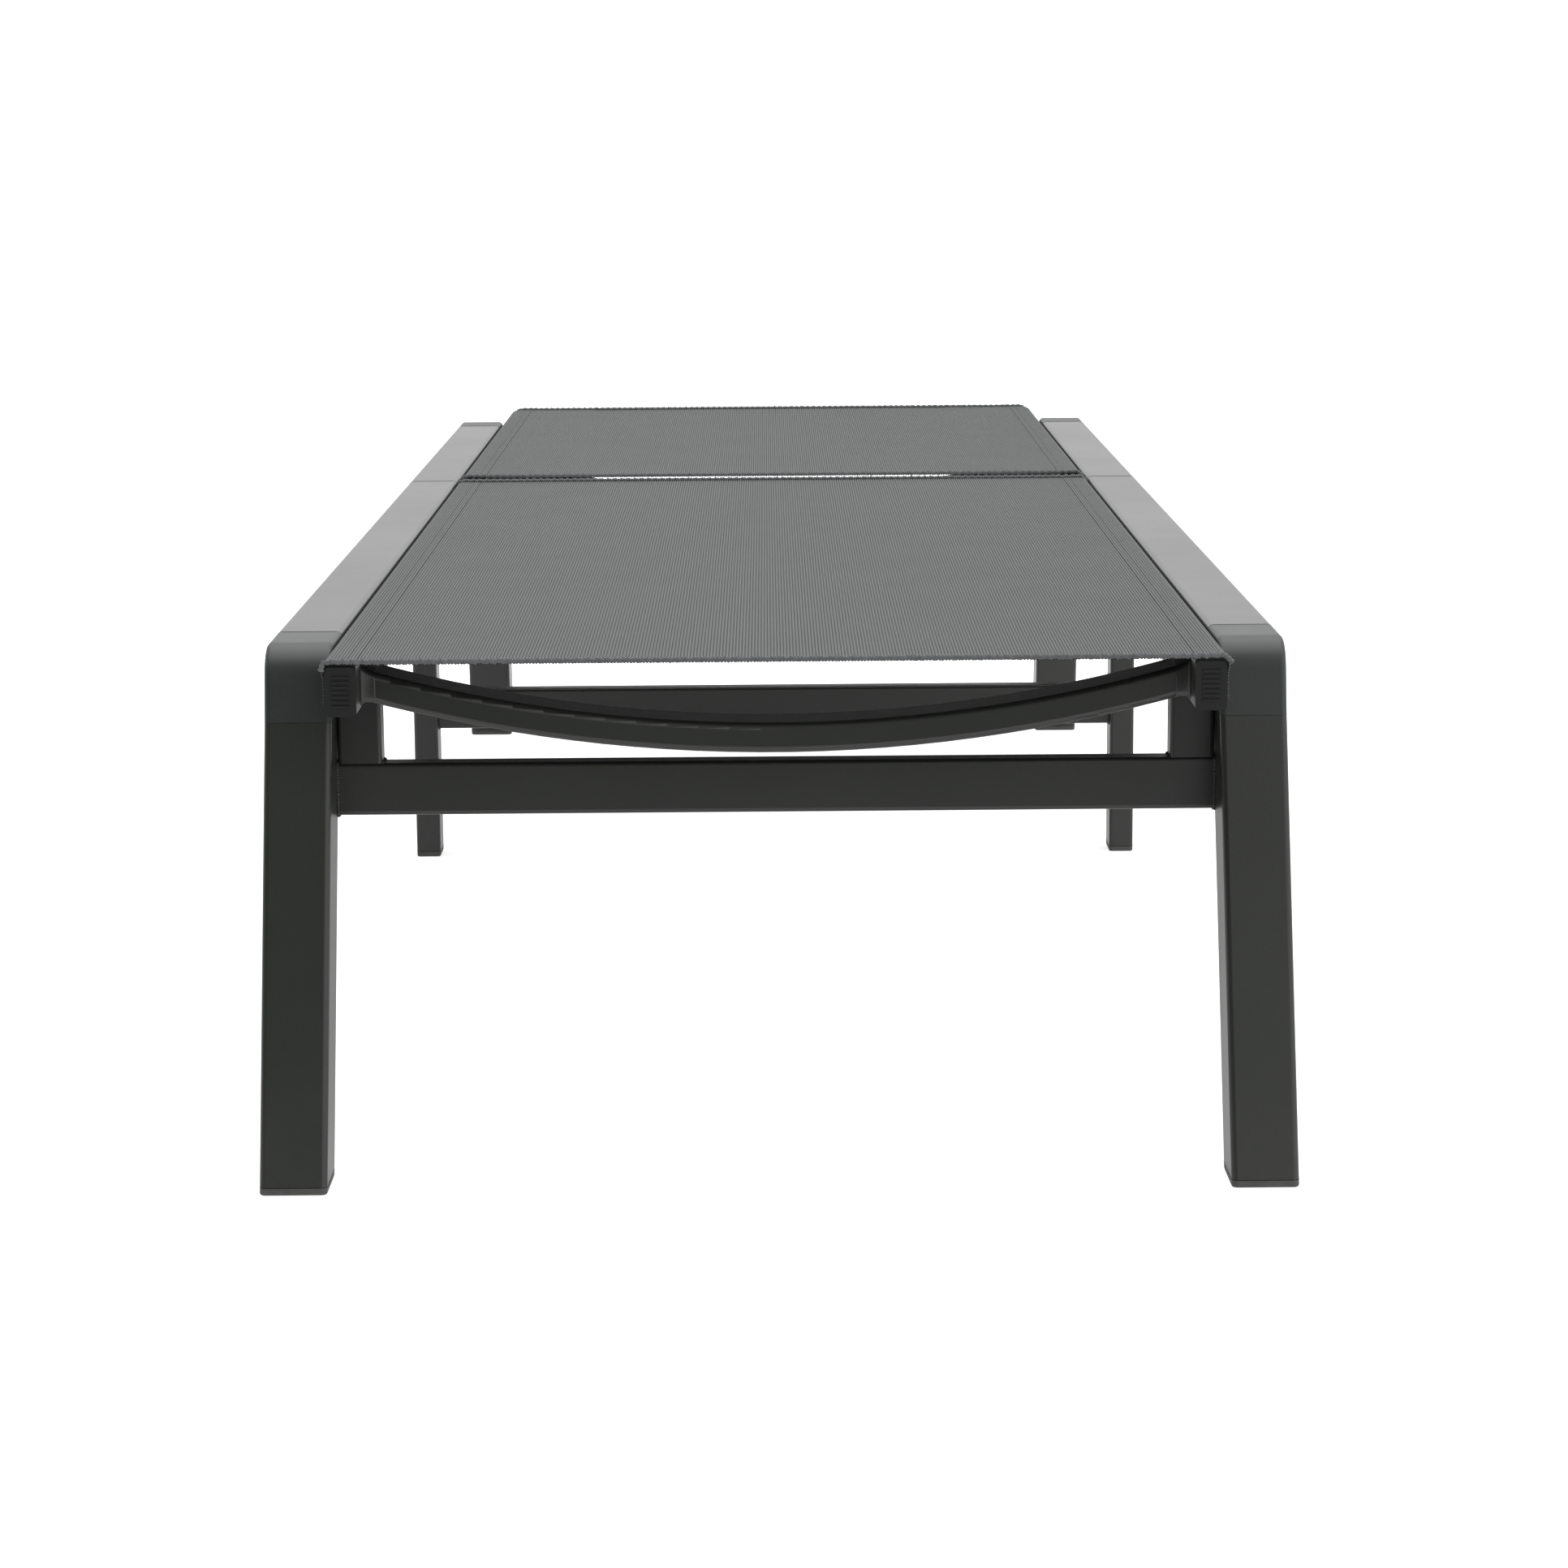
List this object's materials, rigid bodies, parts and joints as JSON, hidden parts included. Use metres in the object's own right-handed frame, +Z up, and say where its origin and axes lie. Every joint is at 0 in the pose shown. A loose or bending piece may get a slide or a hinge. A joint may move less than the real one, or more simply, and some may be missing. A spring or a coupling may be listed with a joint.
{
  "type": "reclining sun lounger",
  "caption": "Flat garden sun lounger: powder-coated tube frame on splayed legs, taut mesh seat and a backrest that reclines on a toothed rack.",
  "frame": {"origin": "bottom centre of the bounding box, on the floor between the legs", "axes": "+Y from the foot end to the head end, +Z up, +X to the right seen from the foot end"},
  "size_m": [0.6886, 1.9403, 0.356],
  "materials": {
    "frame_paint": "anthracite powder coat, satin",
    "elbow_paint": "anthracite powder coat, slightly bluer and glossier",
    "sleeve_aluminium": "mill finish",
    "cap_plastic": "moulded, ribbed",
    "foot_plastic": "moulded",
    "sling_fabric": "coated woven mesh",
    "edge_rod_plastic": "extruded",
    "zinc_steel": "zinc plated",
    "pad_rubber": "moulded",
    "bush_nylon": "moulded nylon"
  },
  "bodies": {
    "frame": {"front_leg_left": "frame_paint", "front_leg_right": "frame_paint", "front_rail_left": "frame_paint", "front_rail_right": "frame_paint", "rear_rail_left": "frame_paint", "rear_rail_right": "frame_paint", "rear_leg_left": "frame_paint", "rear_leg_right": "frame_paint", "middle_leg_left": "frame_paint", "middle_leg_right": "frame_paint", "front_post_left": "frame_paint", "front_post_right": "frame_paint", "rear_post_left": "frame_paint", "rear_post_right": "frame_paint", "middle_support_left": "frame_paint", "middle_support_right": "frame_paint", "seat_rail_left": "frame_paint", "seat_rail_right": "frame_paint", "foot_elbow_left": "elbow_paint", "foot_elbow_right": "elbow_paint", "head_elbow_left": "elbow_paint", "head_elbow_right": "elbow_paint", "joint_sleeve_left": "sleeve_aluminium", "joint_sleeve_right": "sleeve_aluminium", "front_foot_cap_left": "foot_plastic", "front_foot_cap_right": "foot_plastic", "middle_foot_cap_left": "foot_plastic", "middle_foot_cap_right": "foot_plastic", "rear_foot_cap_left": "foot_plastic", "rear_foot_cap_right": "foot_plastic", "front_crossbar": "frame_paint", "middle_crossbar": "frame_paint", "rear_crossbar": "frame_paint", "seat_front_spreader": "frame_paint", "seat_rear_spreader": "frame_paint", "rest_pads": "pad_rubber", "seat_sling": "sling_fabric", "seat_edge_rods": "edge_rod_plastic", "seat_end_cap_left": "cap_plastic", "seat_end_cap_right": "cap_plastic", "seat_rear_plugs": "cap_plastic", "hinge_bracket_left": "zinc_steel", "hinge_bracket_right": "zinc_steel", "rack_plate_left": "frame_paint", "rack_plate_right": "frame_paint", "rack_hangers": "frame_paint", "pivot_bolts": "zinc_steel", "frame_bolts": "zinc_steel"},
    "backrest": {"back_rail_left": "frame_paint", "back_rail_right": "frame_paint", "back_lower_spreader": "frame_paint", "back_upper_spreader": "frame_paint", "back_sling": "sling_fabric", "back_edge_rods": "edge_rod_plastic", "back_end_caps": "cap_plastic", "back_pivot_bushes": "bush_nylon", "prop_pivot_pins": "zinc_steel"},
    "prop": {"prop_arm_left": "frame_paint", "prop_arm_right": "frame_paint", "prop_foot_bar": "frame_paint"}
  },
  "joints": [
    {"name": "backrest_recline", "type": "hinge", "parent": "frame", "child": "backrest", "pos_m": [0, 0.245, 0.338], "axis": [1, 0, 0], "range_deg": [0, 65]},
    {"name": "prop_swing", "type": "hinge", "parent": "backrest", "child": "prop", "pos_m": [0, 0.5, 0.338], "axis": [1, 0, 0], "range_deg": [-137, 0]}
  ],
  "couplings": [
    {"joint": "prop_swing", "follows": "backrest_recline", "ratio": -2.1}
  ]
}
